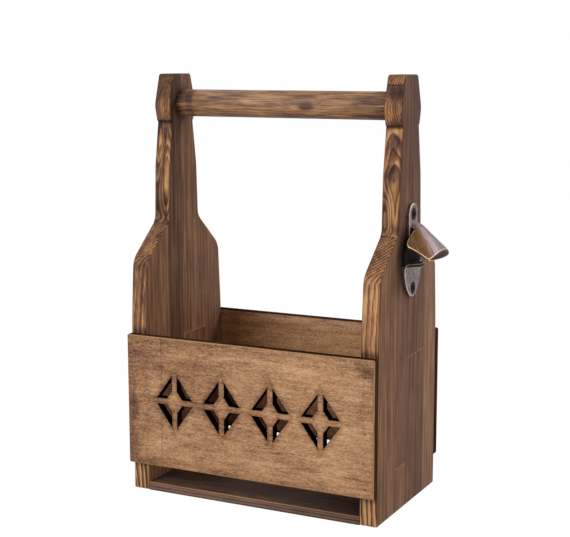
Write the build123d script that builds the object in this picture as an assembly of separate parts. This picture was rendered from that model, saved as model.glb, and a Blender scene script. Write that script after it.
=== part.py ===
from build123d import *
from math import hypot
import os

# Wooden caddy for six bottles, with a wall-type bottle opener on one end.
# Two shaped side boards carry a round handle. Between them lie a bottom board, a front
# panel with a stencil row and a plain back panel.
# X runs across, Y from front to back and Z up, in millimetres. The origin is on the
# underside, midway between the side boards and between their front and back edges.

# Whole caddy
caddy_width = 250.0
caddy_depth = 141.0
caddy_height = 390.0
cut_overrun = 5.0

# Side boards. Each depth is a full depth of the outline, symmetric about the handle.
board_thickness = 17.0
board_edge_chamfer = 1.2
foot_round = 2.0
taper_start_height = 160.0
taper_round = 150.0
shoulder_depth = 132.6
shoulder_height = 219.5
shoulder_round = 17.0
cove_depth = 54.0
cove_rise = 33.0
cove_round = 12.0
neck_swell_depth = 50.0
neck_swell_height_share = 0.547
neck_swell_round = 45.0
neck_depth = 37.6
neck_drop = 45.1
neck_round = 0.8
head_lip_depth = 41.0
head_lip_drop = 43.5
head_lip_round = 2.2
head_depth = 48.4
head_drop = 29.5
head_round = 14.0
crown_depth = 31.0
crown_round = 3.0

# Handle dowel, glued into blind bores of the side boards
handle_diameter = 25.4
handle_drop = 27.5
handle_seat_depth = 9.0
handle_clearance = 0.06
handle_end_chamfer = 1.0

# Bottom board, between the side boards and flush with their undersides
bottom_thickness = 8.0
bottom_edge_round = 0.8

# Front and back panels, nailed over the edges of the side boards
panel_thickness = 8.0
panel_base_height = 27.5
panel_height = 123.5
panel_edge_round = 1.6

# Stencil row of the front panel: lozenge outlines, each held by four bridges
figure_count = 4
figure_pitch = 49.4
figure_width = 41.0
figure_height = 55.5
figure_stroke = 8.0
figure_bridge = 6.0
figure_rise = 2.0
figure_corner_round = 1.0

# Brads of the panels: rectangular wire with a T head, sunk just under the panels' faces
brad_rows = 3
brad_low_margin = 8.5
brad_top_margin = 16.0
brad_width = 1.6
brad_thickness = 1.4
brad_length = 25.0
brad_head_width = 2.6
brad_head_thickness = 1.0
brad_sink = 0.4
brad_clearance = 0.04

# Bottle opener, one casting screwed to the outer face of the right side board.
# Its rises and drops are measured from the lower screw.
lower_screw_height = 202.0
screw_spacing = 66.2
plate_thickness = 3.2
tongue_drop = 7.8
tongue_tip_round = 10.5
tongue_rise = 15.5
tongue_width = 38.0
back_rise = 34.0
shoulder_bend = 7.0
ear_width = 18.8
ear_rise = 46.0
ear_bend = 5.0
casting_edge_chamfer = 0.7

# Jaw of the opener: the ledge that catches the crimped rim of a cap
jaw_rise = 19.4
jaw_thickness = 3.4
jaw_reach = 11.5
jaw_end_reach = 4.0
jaw_corner_round = 1.6
jaw_root_round = 3.0

# Hood of the opener: a cone shell cut to its plan, with a flat brow behind the cone's tip
# and a wall down to a level lip in front. A reach is measured from the board.
hood_cone_height = 40.0
hood_cone_radius = 41.1
hood_tip_reach = 1.7
hood_tip_rise = 65.5
hood_wall = 2.6
brow_rise = 59.3
brow_length = 9.4
brow_fall = 4.4
hood_neck_reach = 8.0
hood_neck_round = 3.0
hood_heel_width = 51.0
hood_heel_reach = 4.4
hood_heel_round = 5.0
hood_corner_reach = 27.4
hood_corner_round = 3.0
hood_lip_width = 52.0
hood_lip_reach = 31.5
hood_lip_rise = 28.6
hood_lip_wall = 3.2

# Screws of the opener, with raised countersunk heads
screw_head_diameter = 9.8
screw_head_depth = 2.6
screw_dome_height = 1.2
screw_shank_diameter = 4.2
screw_length = 16.0
screw_point_length = 4.0
screw_clearance = 0.08

# Places that several pieces share
outer_x = caddy_width / 2
inner_x = outer_x - board_thickness
edge_y = caddy_depth / 2
cove_height = shoulder_height + cove_rise
neck_height = caddy_height - neck_drop
neck_swell_height = cove_height + neck_swell_height_share * (neck_height - cove_height)
handle_height = caddy_height - handle_drop
brad_x = outer_x - board_thickness / 2
brad_head_y = edge_y + panel_thickness - brad_sink
brad_row_spacing = (panel_height - brad_low_margin - brad_top_margin) / (brad_rows - 1)
brad_heights = [
    panel_base_height + brad_low_margin + row * brad_row_spacing for row in range(brad_rows)
]
screw_x = outer_x + plate_thickness
screw_heights = (lower_screw_height, lower_screw_height + screw_spacing)
wall_plane = Plane.YZ.offset(outer_x)
on_end = (Align.CENTER, Align.CENTER, Align.MIN)
from_top = (Align.CENTER, Align.CENTER, Align.MAX)


# Round bar along +X that starts at x and is centred at the given height
def bar_along_x(diameter, length, x, height):
    return Plane.YZ.offset(x) * Pos(0, height) * Cylinder(diameter / 2, length, align=on_end)


# Closed face from half an outline and its mirror image about the sketch's Y axis
def symmetric_face(half):
    return make_face(half.edges() + mirror(half, Plane.YZ).edges())


def side_outline():
    half = FilletPolyline(
        (0, 0),
        (edge_y, 0),
        (edge_y, taper_start_height),
        (shoulder_depth / 2, shoulder_height),
        (cove_depth / 2, cove_height),
        (neck_swell_depth / 2, neck_swell_height),
        (neck_depth / 2, neck_height),
        (head_lip_depth / 2, caddy_height - head_lip_drop),
        (head_depth / 2, caddy_height - head_drop),
        (crown_depth / 2, caddy_height),
        (0, caddy_height),
        radius=[
            foot_round,
            taper_round,
            shoulder_round,
            cove_round,
            neck_swell_round,
            neck_round,
            head_lip_round,
            head_round,
            crown_round,
        ],
    )
    return symmetric_face(half)


# Side board on the +X side, with the blind bore of the handle and the brads' holes
def side_board():
    board = extrude(Plane.YZ.offset(inner_x) * side_outline(), board_thickness)
    board = chamfer(board.faces().filter_by(Axis.X).edges(), board_edge_chamfer)
    board -= bar_along_x(
        handle_diameter + 2 * handle_clearance,
        handle_seat_depth + handle_clearance,
        inner_x,
        handle_height,
    )
    for side in (-1, 1):
        board -= brads(side, brad_clearance)
    return board


def handle_dowel():
    seated_x = inner_x + handle_seat_depth
    dowel = bar_along_x(handle_diameter, 2 * seated_x, -seated_x, handle_height)
    return chamfer(dowel.edges().filter_by(GeomType.CIRCLE), handle_end_chamfer)


def bottom_board():
    board = Box(2 * inner_x, caddy_depth, bottom_thickness, align=on_end)
    return fillet(board.edges().filter_by(Axis.X), bottom_edge_round)


# Panel on the front (side -1) or the back (side 1) edges of the side boards
def panel(side):
    board = Pos(0, side * (edge_y + panel_thickness / 2), panel_base_height) * Box(
        caddy_width, panel_thickness, panel_height, align=on_end
    )
    outer_face = board.faces().sort_by(Axis.Y)[-1 if side > 0 else 0]
    board = fillet(outer_face.edges() + board.edges().filter_by(Axis.Y), panel_edge_round)
    return board - brads(side, brad_clearance, brad_sink + cut_overrun)


# Lozenge outline cut into four slanted slots by an upright and a level bridge
def figure_slots():
    half_width = figure_width / 2
    half_height = figure_height / 2
    lozenge = make_face(
        Polyline((half_width, 0), (0, half_height), (-half_width, 0), (0, -half_height), close=True)
    )
    ring = lozenge - offset(lozenge, -figure_stroke, kind=Kind.INTERSECTION)
    ring -= Rectangle(figure_bridge, figure_height)
    ring -= Rectangle(figure_width, figure_bridge)
    return Sketch() + [fillet(slot.vertices(), figure_corner_round) for slot in ring.faces()]


def front_panel():
    board = panel(-1)
    row_height = panel_base_height + panel_height / 2 + figure_rise
    face_plane = Plane(
        origin=(0, -edge_y - panel_thickness - cut_overrun, row_height), x_dir=(1, 0, 0), z_dir=(0, 1, 0)
    )
    slots = Sketch() + GridLocations(figure_pitch, 0, figure_count, 1) * figure_slots()
    return board - extrude(face_plane * slots, panel_thickness + 2 * cut_overrun)


# Brads of one panel, driven from its outer face: extra grows them all round,
# and pit adds room over their heads
def brads(side, extra=0.0, pit=0.0):
    thickness = brad_thickness + 2 * extra
    shank = Box(brad_width + 2 * extra, thickness, brad_length + extra, align=from_top)
    head = Box(
        brad_head_width + 2 * extra, thickness, brad_head_thickness + extra + pit, align=from_top
    )
    driven = Rot(-side * 90, 0, 0) * (shank + Pos(0, 0, pit) * head)
    return [
        Pos(end * brad_x, side * brad_head_y, height) * driven
        for end in (-1, 1)
        for height in brad_heights
    ]


# Back plate, from its round tongue up to the ear of the upper screw
def opener_plate():
    tip = CenterArc((0, tongue_tip_round - tongue_drop), tongue_tip_round, -90, 25)
    flare = TangentArc(tip @ 1, (tongue_width / 2, tongue_rise), tangent=tip % 1)
    back = FilletPolyline(
        flare @ 1,
        (tongue_width / 2, back_rise),
        (ear_width / 2, ear_rise),
        (ear_width / 2, screw_spacing),
        radius=[shoulder_bend, ear_bend],
    )
    top = CenterArc((0, screw_spacing), ear_width / 2, 0, 90)
    outline = symmetric_face(Curve() + [tip, flare, *back.edges(), top])
    plate = extrude(wall_plane * Pos(0, lower_screw_height) * outline, plate_thickness)
    return chamfer(plate.faces().sort_by(Axis.X)[-1].edges(), casting_edge_chamfer)


# Ledge with a bowed front, as wide as the plate, with a hollow round under its root
def opener_jaw():
    half_width = tongue_width / 2
    root = CenterArc((plate_thickness + jaw_root_round, 0), jaw_root_round, 180, -90)
    top = jaw_root_round + jaw_thickness
    rest = Polyline(root @ 1, (jaw_reach, jaw_root_round), (jaw_reach, top), (0, top), (0, 0), root @ 0)
    section = make_face(root.edges() + rest.edges())
    ledge = extrude(Plane.XZ * section, half_width, both=True)
    sides = Polyline((jaw_end_reach, half_width), (0, half_width), (0, -half_width), (jaw_end_reach, -half_width))
    bow = ThreePointArc(sides @ 1, (jaw_reach, 0), sides @ 0)
    plan = fillet(make_face(sides.edges() + bow.edges()).vertices().sort_by(Axis.X)[-2:], jaw_corner_round)
    ledge &= extrude(plan, top)
    rims = ledge.edges().filter_by(Plane.XY).filter_by(GeomType.CIRCLE)
    ledge = chamfer(rims, casting_edge_chamfer)
    return Pos(outer_x, 0, lower_screw_height + jaw_rise - jaw_root_round) * ledge


# Plan of the hood: a neck, two heels that stand off the board, and a bowed lip
def hood_plan():
    neck = ear_width / 2
    corner = hood_lip_width / 2
    sides = FilletPolyline(
        (neck, 0),
        (neck, hood_neck_reach),
        (hood_heel_width / 2, hood_heel_reach),
        (corner, hood_corner_reach),
        radius=[hood_neck_round, hood_heel_round],
    )
    lip = TangentArc((0, hood_lip_reach), (corner, hood_corner_reach), tangent=(1, 0))
    root = Line((0, 0), (neck, 0))
    plan = symmetric_face(Curve() + [root, *sides.edges(), lip])
    lip_corners = plan.vertices().sort_by(Axis.X)
    return fillet([lip_corners[0], lip_corners[-1]], hood_corner_round)


# Cone under the brow, sunk by the given depth below the hood's outer faces
def hood_core(depth=0.0):
    sink = depth * hypot(hood_cone_radius, hood_cone_height) / hood_cone_radius
    tip = Pos(outer_x + hood_tip_reach, 0, lower_screw_height + hood_tip_rise - sink)
    cone = tip * Cone(hood_cone_radius, 0, hood_cone_height, align=from_top)
    brow = Plane(
        origin=(screw_x, 0, lower_screw_height + brow_rise),
        x_dir=(0, 1, 0),
        z_dir=(brow_fall, 0, brow_length),
    )
    return split(cone, bisect_by=brow.offset(-depth), keep=Keep.BOTTOM)


def opener_hood():
    lip_height = lower_screw_height + hood_lip_rise
    seen_from_below = Plane(origin=(outer_x, 0, lip_height), x_dir=(0, 1, 0), z_dir=(0, 0, -1))
    plan = extrude(seen_from_below * hood_plan(), hood_lip_rise - hood_tip_rise)
    hood = hood_core() & plan
    hood = chamfer(hood.edges(), casting_edge_chamfer)
    return hood - (hood_core(hood_wall) & Pos(-hood_lip_wall, 0, 0) * plan)


# The whole casting, with countersinks for its screws
def bottle_opener():
    return opener_plate() + opener_jaw() + opener_hood() - opener_screws(screw_clearance)


# Raised countersunk screw, its rim level with the plate's face
def screw(extra=0.0):
    head = screw_head_diameter / 2 + extra
    shank = screw_shank_diameter / 2 + extra
    length = screw_length + extra
    side = Polyline(
        (head, 0),
        (shank, -screw_head_depth),
        (shank, screw_point_length - length),
        (0, -length),
        (0, screw_dome_height),
    )
    dome_radius = (head**2 + screw_dome_height**2) / (2 * screw_dome_height)
    dome = RadiusArc((0, screw_dome_height), (head, 0), dome_radius)
    return revolve(Plane.XZ * make_face(side.edges() + dome.edges()), Axis.Z)


def opener_screws(extra=0.0):
    driven = Rot(0, 90, 0) * screw(extra)
    return [Pos(screw_x, 0, height) * driven for height in screw_heights]


def right_side_board():
    return side_board() - opener_screws(screw_clearance)


nodes = {
    "left_side_board": mirror(side_board(), Plane.YZ),
    "right_side_board": right_side_board(),
    "handle_dowel": handle_dowel(),
    "bottom_board": bottom_board(),
    "front_panel": front_panel(),
    "back_panel": panel(1),
    "front_panel_brads": Compound(children=brads(-1)),
    "back_panel_brads": Compound(children=brads(1)),
    "bottle_opener": bottle_opener(),
    "opener_screws": Compound(children=opener_screws()),
}

os.makedirs("parts", exist_ok=True)
for name, shape in nodes.items():
    shape.label = name
    export_step(shape, f"parts/{name}.step")
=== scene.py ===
from math import cos, hypot, pi, radians, sin, tan

import bmesh
import bpy
from mathutils import Matrix, Vector
from mathutils.bvhtree import BVHTree


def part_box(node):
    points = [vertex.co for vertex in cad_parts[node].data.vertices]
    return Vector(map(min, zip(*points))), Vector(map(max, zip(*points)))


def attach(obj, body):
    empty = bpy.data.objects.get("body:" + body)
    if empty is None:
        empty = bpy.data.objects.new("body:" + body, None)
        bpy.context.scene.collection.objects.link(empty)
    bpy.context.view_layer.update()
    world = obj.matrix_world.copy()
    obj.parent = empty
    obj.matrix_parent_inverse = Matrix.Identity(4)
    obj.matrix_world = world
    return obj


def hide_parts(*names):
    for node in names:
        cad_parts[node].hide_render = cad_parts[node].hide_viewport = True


# Looks of a stained wooden bottle caddy with a cast opener on its right side board.
# Sizes in the dictionaries are millimetres; meshes and patterns are in metres, where the frame is.

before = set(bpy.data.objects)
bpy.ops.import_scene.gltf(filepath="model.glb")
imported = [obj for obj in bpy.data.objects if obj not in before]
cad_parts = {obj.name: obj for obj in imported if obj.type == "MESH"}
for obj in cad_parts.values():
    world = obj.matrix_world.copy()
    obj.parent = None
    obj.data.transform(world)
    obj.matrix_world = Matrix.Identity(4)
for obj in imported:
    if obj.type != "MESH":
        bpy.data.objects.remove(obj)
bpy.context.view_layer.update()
mm = 0.001
smooth = {"interpolation_type": "SMOOTHSTEP"}   # settings of a Map Range that eases in and out


def hexColour(text):
    channels = [int(text[i:i + 2], 16) / 255 for i in (1, 3, 5)]
    return [c / 12.92 if c <= 0.04045 else ((c + 0.055) / 1.055) ** 2.4 for c in channels] + [1.0]


# A node's inputs, in order or by name in a dict: values, hex colours, sockets or whole nodes
def plugIn(tree, node, *inputs):
    sockets = [socket for socket in node.inputs if socket.enabled]
    pairs = zip(sockets, inputs)
    if inputs and isinstance(inputs[0], dict):
        pairs = [(next(s for s in sockets if s.name == name), value) for name, value in inputs[0].items()]
    for socket, value in pairs:
        if isinstance(value, str):
            value = hexColour(value)
        if isinstance(value, bpy.types.Node):
            value = next(s for s in value.outputs if s.enabled)
        if isinstance(value, bpy.types.NodeSocket):
            tree.links.new(value, socket)
        else:
            socket.default_value = value


# stops fill a colour ramp with hex colours, triples or grey levels
def addNode(tree, kind, *inputs, stops=None, ease="LINEAR", **settings):
    node = tree.nodes.new("ShaderNode" + kind)
    for name, value in settings.items():
        setattr(node, name, value)
    if stops:
        ramp = node.color_ramp
        ramp.interpolation = ease
        for count, (position, colour) in enumerate(stops):
            if count == 0:
                element = ramp.elements[0]
            elif count == len(stops) - 1:
                element = ramp.elements[-1]
            else:
                element = ramp.elements.new(position)
            element.position = position
            if isinstance(colour, str):
                element.color = hexColour(colour)
            elif isinstance(colour, tuple):
                element.color = (*colour, 1.0)
            else:
                element.color = (colour, colour, colour, 1.0)
    plugIn(tree, node, *inputs)
    return node


# How far a value is from a level, either way
def awayFrom(tree, value, level):
    off = addNode(tree, "Math", value, level, operation="SUBTRACT")
    return addNode(tree, "Math", off, operation="ABSOLUTE")


# How far a spot is from a centre, as a share of half sizes in mm: 1 on the ellipse round it
def onEllipse(tree, spot, centre, *halves):
    away = addNode(tree, "VectorMath", spot, centre, operation="SUBTRACT")
    scale = [1 / mm / half for half in halves] + [0.0] * (3 - len(halves))
    away = addNode(tree, "VectorMath", away, scale, operation="MULTIPLY")
    return addNode(tree, "VectorMath", away, operation="LENGTH")


# Noise drawn out along the grain, with its size on each axis in mm
def woodGrain(tree, spot, sizes, detail, roughness=0.5, distortion=0.0):
    stretched = addNode(tree, "Mapping", {"Vector": spot, "Scale": [1 / mm / size for size in sizes]})
    return addNode(tree, "TexNoise", {
        "Vector": stretched, "Scale": 1.0, "Detail": detail, "Roughness": roughness,
        "Distortion": distortion})


# A start plus each pattern times its weight
def addUp(tree, total, *parts):
    for pattern, weight in parts:
        total = addNode(tree, "Math", pattern, weight, total, operation="MULTIPLY_ADD")
    return total


def startMaterial(name):
    material = bpy.data.materials.new(name)
    material.use_nodes = True
    tree = material.node_tree
    tree.nodes.clear()
    shader = addNode(tree, "BsdfPrincipled")
    addNode(tree, "OutputMaterial", shader)
    return material, tree, shader


def addObject(name, data):
    thing = bpy.data.objects.new(name, data)
    bpy.context.scene.collection.objects.link(thing)
    return thing


def addPiece(name, mesh, material, slot, *nodes):
    piece = addObject(name, mesh)
    mesh.materials.append(material)
    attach(piece, "root")
    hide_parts(*nodes)


def onlyVerts(geom):
    return [part for part in geom if isinstance(part, bmesh.types.BMVert)]


# Give flat faces a thickness, along step
def thicken(bm, faces, step):
    grown = bmesh.ops.extrude_face_region(bm, geom=faces)["geom"]
    bmesh.ops.translate(bm, verts=onlyVerts(grown), vec=step)


def finishMesh(bm, name, sharpAngle=40):
    bmesh.ops.recalc_face_normals(bm, faces=bm.faces)
    mesh = bpy.data.meshes.new(name)
    bm.to_mesh(mesh)
    bm.free()
    mesh.shade_smooth()
    mesh.set_sharp_from_angle(angle=radians(sharpAngle))
    return mesh


# Face symmetric about the first axis's zero, from one side's corners (out, up, rounding radius).
# place turns (out, up) into a point.
def roundedFace(bm, corners, place, segments=10):
    right = [(bm.verts.new(place(out, up)), radius) for out, up, radius in corners]
    left = [(bm.verts.new(place(-out, up)), radius) for out, up, radius in corners]
    bm.faces.new([vert for vert, _ in right + left[::-1]])
    for vert, radius in right + left:
        before, after = [(edge.other_vert(vert).co - vert.co).normalized() for edge in vert.link_edges]
        reach = radius * mm / tan(before.angle(after) / 2)
        if reach > 0:
            bmesh.ops.bevel(
                bm, geom=[vert], offset=reach, offset_type="OFFSET", segments=segments,
                profile=0.5, affect="VERTICES", clamp_overlap=False, material=-1)
    return bm.faces[:]


# Pine staves, edge-glued, wire-brushed and rubbed with brown stain. Brushing leaves the hard late
# rings proud and golden and the soft early wood as dark grooves, seen best on the sawn edges; the
# flat faces took the stain evenly and are greyer, with fine upright streaks.
pine = {
    "height": 390.0,
    "boardMiddle": 116.5,
    "faceSpan": (7.6, 8.1),                    # from the board's middle, where its flat faces begin
    "arris": 7.9,                              # from there too, where stain gathers along them
    "staveSpan": 160.0,                        # depth that the staves' ramps cover
    "staveEdges": (-30.0, -4.5, 37.0),         # glue lines, from the board's middle
    "jointHeights": (0.0, 41.0, 139.0, 0.0),   # butt joint in each stave, 0 for none
    "piths": ((-48.0, 22.0), (-6.0, 48.0), (70.0, 30.0), (-40.0, 95.0)),
    "pithHeight": 300.0,                       # the piths lean, and stand there at this height
    "pithTilt": 0.05,
    # the bands hold stain, and painted shade just under and over the front panel, in the necks' coves and
    # under the heads' steps
    "stainAndShadeBands": {                            # how light the front edges are at each height, 0.5 even
        "left": (
            (0, 0.16), (21, 0.16), (27, 0.02), (42, 0.40), (50, 0.46), (150, 0.48), (152, 0.26), (158, 0.46),
            (190, 0.48), (225, 0.46), (247, 0.32), (258, 0.30), (270, 0.43), (325, 0.43), (338, 0.28),
            (344, 0.28), (348, 0.42), (356, 0.52), (390, 0.46)),
        "right": (
            (0, 0.20), (21, 0.20), (27, 0.04), (40, 0.42), (50, 0.5), (150, 0.58), (152, 0.28), (158, 0.57),
            (190, 0.62), (225, 0.50), (250, 0.32), (258, 0.36), (266, 0.47), (290, 0.45), (301, 0.36),
            (314, 0.50), (327, 0.38), (338, 0.56), (344, 0.54), (348, 0.40), (358, 0.53), (366, 0.47),
            (374, 0.22), (380, 0.24), (382, 0.46), (390, 0.44)),
    },
    "creaseHeight": 345.3,
    "nickHeight": 381.2,
    "neckFrom": (225.0, 265.0),                # the figure turns from straight to wandering
    "headFrom": 345.5,                         # above the head's step the figure runs upright
    "headPith": (-34.0, -6.0),
    "swirls": (                                # where the rings bulge: x, height, half sizes, bulge
        (114.5, 331.0, 6.0, 15.0, 2.4),
        (118.0, 296.0, 7.5, 27.0, 5.2),
        (113.5, 270.0, 5.0, 20.0, -3.4),
        (119.0, 262.0, 5.5, 17.0, 3.0),
        (-112.5, 292.0, 6.0, 42.0, 5.5),
        (-119.5, 318.0, 5.0, 26.0, -3.5),
        (-115.0, 366.0, 4.0, 34.0, 6.0),
    ),
    "patches": (                               # dark spots and golden lenses: x, height, half sizes, tone
        (118.6, 332.0, 4.0, 7.0, -0.15),
        (118.2, 318.5, 3.2, 4.4, -0.10),
        (117.8, 304.7, 4.4, 7.5, -0.15),
        (117.5, 280.0, 4.2, 19.0, 0.12),
        (-112.0, 297.0, 2.8, 22.0, 0.16),
        (-119.5, 317.0, 3.2, 26.0, 0.12),
        (-115.8, 315.0, 1.6, 24.0, -0.14),
        (-113.5, 270.0, 2.6, 11.0, -0.16),
    ),
    # painted shadow of the opener on the right board, in front of its mouth
    "mouthShadow": (-14.0, 38.0, 13.0, 21.0),   # y, height over the opener's foot, half sizes
    # painted shade round the dowel's ends on the inner faces, fading out between these radii
    "dowelShade": (12.5, 21.0),
    "ringWidth": 2.4,
    "headRings": 1.7,
    "wander": 4.5,
    "ripple": 0.8,
    "patterns": {                              # sizes across the boards, through them and up
        "wander": (38.46, 38.46, 111.1),
        "ripple": (5.263, 5.263, 29.41),
        "fibres": (0.8, 0.8, 45.0),            # drawn wider than real fibres, to show at all
        "streaks": (4.7619, 4.7619, 142.9),
        "clouds": (19.23, 19.23, 33.33),
        "upright": (2.2727, 2.2727, 71.43),    # pores of the flat faces, drawn wider too
    },
    "groove": 0.3,
}


def stainedPine():
    material, tree, shader = startMaterial("stainedBrushedPine")
    spot = addNode(tree, "TexCoord").outputs["Object"]
    x, y, z = addNode(tree, "SeparateXYZ", spot).outputs
    sizes = pine["patterns"]
    middle = pine["boardMiddle"] * mm
    headFrom = pine["headFrom"] * mm
    neckFrom, neckTo = [height * mm for height in pine["neckFrom"]]
    sides = addNode(tree, "Math", x, operation="SIGN")
    onRight = addNode(tree, "Math", x, 0.0, operation="GREATER_THAN")
    onHead = addNode(tree, "Math", z, headFrom, operation="GREATER_THAN")
    halfSpan = pine["staveSpan"] / 2 * mm
    across = addNode(tree, "MapRange", y, -halfSpan, halfSpan)
    edges = [0.0] + [edge / pine["staveSpan"] + 0.5 for edge in pine["staveEdges"]]

    # every stave, the wood above a butt joint and each board get figures of their own
    joints = [(at, height * mm) for at, height in zip(edges, pine["jointHeights"])]
    joints = addNode(tree, "ValToRGB", across, stops=joints, ease="CONSTANT")
    above = addNode(tree, "Math", z, joints, operation="GREATER_THAN")
    staves = [(at, 0.2 * number) for number, at in enumerate(edges)]
    staves = addNode(tree, "ValToRGB", across, stops=staves, ease="CONSTANT")
    seed = addUp(tree, staves, (above, 0.11), (sides, 0.037))
    ownNoise = addNode(tree, "TexWhiteNoise", {"W": seed}, noise_dimensions="1D")

    # distance from the pith, which leans with height; a ramp holds nothing below 0, so it is lifted
    lift = 150.0
    piths = [(at, ((px + lift) * mm, (py + lift) * mm, 0.0)) for at, (px, py) in zip(edges, pine["piths"])]
    piths = addNode(tree, "ValToRGB", across, stops=piths, ease="CONSTANT")
    dropped = (lift * mm, (lift + pine["pithTilt"] * pine["pithHeight"]) * mm, 0.0)
    pith = addNode(tree, "VectorMath", piths, dropped, operation="SUBTRACT")
    headPith = (*[size * mm for size in pine["headPith"]], 0.0)
    pith = addNode(tree, "Mix", onHead, pith, headPith, data_type="VECTOR")
    boardMiddle = addNode(tree, "Math", sides, middle, operation="MULTIPLY")
    localX = addNode(tree, "Math", x, boardMiddle, operation="SUBTRACT")
    lean = addNode(tree, "Math", z, -pine["pithTilt"], y, operation="MULTIPLY_ADD")
    flat = addNode(tree, "CombineXYZ", localX, lean)
    fromPith = addNode(tree, "VectorMath", flat, pith, operation="SUBTRACT")
    radius = addNode(tree, "VectorMath", fromPith, operation="LENGTH")

    shift = ownNoise.outputs["Color"]
    ownSpot = addNode(tree, "VectorMath", shift, (0.3, 0.3, 0.3), spot, operation="MULTIPLY_ADD")
    wander = woodGrain(tree, ownSpot, sizes["wander"], 1.0)
    ripple = woodGrain(tree, ownSpot, sizes["ripple"], 2.0)
    # the figure wanders on the necks and runs nearly straight below them and on the heads
    sway, stir = pine["wander"] * mm, pine["ripple"] * mm
    swaying = addNode(tree, "MapRange", z, neckFrom, neckTo, 0.7 * sway, 2 * sway)
    swaying = addNode(tree, "Mix", onHead, swaying, 0.8 * sway)
    rippling = addNode(tree, "MapRange", z, neckFrom, neckTo, 2 * stir, 0.9 * stir)
    radius = addUp(tree, radius, (wander, swaying), (ripple, rippling))
    onFlat = addNode(tree, "CombineXYZ", x, z)
    for px, pz, halfX, halfZ, bulge in pine["swirls"]:
        away = onEllipse(tree, onFlat, (px * mm, pz * mm, 0.0), halfX, halfZ)
        swirl = addNode(tree, "MapRange", away, 0.0, 1.6, bulge * mm, 0.0, **smooth)
        radius = addNode(tree, "Math", radius, swirl, operation="ADD")
    ringWidth = addNode(tree, "Mix", onHead, pine["ringWidth"] * mm, pine["headRings"] * mm)
    turns = addNode(tree, "Math", radius, ringWidth, operation="DIVIDE")
    phase = addNode(tree, "Math", turns, operation="FRACT")
    rings = addNode(tree, "ValToRGB", phase, ease="B_SPLINE", stops=[
        (0.0, 0.1), (0.3, 0.35), (0.72, 0.85), (0.9, 1.0), (1.0, 0.1)])

    fibres = woodGrain(tree, ownSpot, sizes["fibres"], 3.0, 0.6)
    streaks = woodGrain(tree, ownSpot, sizes["streaks"], 4.0, 0.6)
    clouds = woodGrain(tree, ownSpot, sizes["clouds"], 4.0, 0.6)
    upright = woodGrain(tree, ownSpot, sizes["upright"], 4.0, 0.65)

    depth = addNode(tree, "Math", localX, operation="ABSOLUTE")
    onFace = addNode(tree, "MapRange", depth, *[size * mm for size in pine["faceSpan"]], **smooth)
    sawn = addNode(tree, "Math", 1.0, onFace, operation="SUBTRACT")

    # sawn edges: bands of stain and painted shade, over rings that are strong on the feet and calmer above
    # them
    share = addNode(tree, "Math", z, pine["height"] * mm, operation="DIVIDE")
    bands = []
    for heights in pine["stainAndShadeBands"].values():
        stops = [(height / pine["height"], level) for height, level in heights]
        bands.append(addNode(tree, "ValToRGB", share, stops=stops))
    band = addNode(tree, "Mix", onRight, *bands, data_type="RGBA")
    stained = addNode(tree, "MapRange", z, 30 * mm, 200 * mm, -0.79, -0.93, **smooth)
    stained = addNode(tree, "Math", stained, band, operation="ADD")
    lively = addNode(tree, "MapRange", z, neckFrom, 260 * mm, 0.4, 0.55)
    uneven = addNode(tree, "Math", clouds, 0.5, operation="SUBTRACT")
    uneven = addNode(tree, "Math", uneven, lively, operation="MULTIPLY")
    ringTone = addNode(tree, "Math", uneven, 0.5, operation="ADD")
    ringTone = addNode(tree, "Math", rings, ringTone, operation="MULTIPLY")
    footWeight = addNode(tree, "MapRange", z, 30 * mm, 50 * mm, 1.7, 0.9)
    ringWeight = addNode(tree, "MapRange", z, 235 * mm, 260 * mm, footWeight, 1.0)
    ringWeight = addNode(tree, "Mix", onHead, ringWeight, 0.5)
    edgeTone = addUp(tree, stained, (ringTone, ringWeight))
    for px, pz, halfX, halfZ, level in pine["patches"]:
        away = onEllipse(tree, onFlat, (px * mm, pz * mm, 0.0), halfX, halfZ)
        away = addUp(tree, away, (clouds, 0.8))
        patch = addNode(tree, "MapRange", away, 1.0, 1.7, level, 0.0, **smooth)
        edgeTone = addNode(tree, "Math", edgeTone, patch, operation="ADD")
    calm = addNode(tree, "MapRange", z, neckFrom, neckTo, 1.0, 0.6)
    evenly = addNode(tree, "Math", fibres, 0.5, operation="SUBTRACT")
    evenly = addNode(tree, "Math", evenly, calm, 0.5, operation="MULTIPLY_ADD")
    edgeTone = addUp(tree, edgeTone, (evenly, 1.0), (streaks, 0.75), (uneven, 1.1))
    edgeColour = addNode(tree, "ValToRGB", edgeTone, stops=[
        (0.20, "#2A1A12"), (0.42, "#50362A"), (0.62, "#815941"), (0.82, "#B07E54"), (1.0, "#D8A570")])

    # flat faces: upright streaks, each stave in a tone of its own
    faceTone = addUp(
        tree, -0.46, (upright, 0.85), (fibres, 0.7), (streaks, 0.42), (clouds, 0.25), (ownNoise, 0.20))
    faceColour = addNode(tree, "ValToRGB", faceTone, stops=[
        (0.44, "#33211A"), (0.62, "#593A2A"), (0.80, "#7C553F"), (0.98, "#A17856")])
    darker = addNode(tree, "MapRange", z, 150 * mm, 330 * mm, 1.0, 0.8, **smooth)
    faceColour = addNode(tree, "Mix", 1.0, faceColour, darker, data_type="RGBA", blend_type="MULTIPLY")
    colour = addNode(tree, "Mix", onFace, edgeColour, faceColour, data_type="RGBA")

    # dark glue lines and butt joints
    glue = [(0.0, 1.0)]
    for edge in edges[1:]:
        glue += [(edge - 0.004, 1.0), (edge, 0.35), (edge + 0.004, 1.0)]
    glueLines = addNode(tree, "ValToRGB", across, stops=[*glue, (1.0, 1.0)])
    jointGap = awayFrom(tree, z, joints)
    jointLines = addNode(tree, "MapRange", jointGap, 0.5 * mm, 1.1 * mm, 1.6, 1.0)
    light = addNode(tree, "MapRange", glueLines, 0.0, 1.0, 0.55, 1.0)
    light = addNode(tree, "Math", light, jointLines, operation="MULTIPLY")
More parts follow.
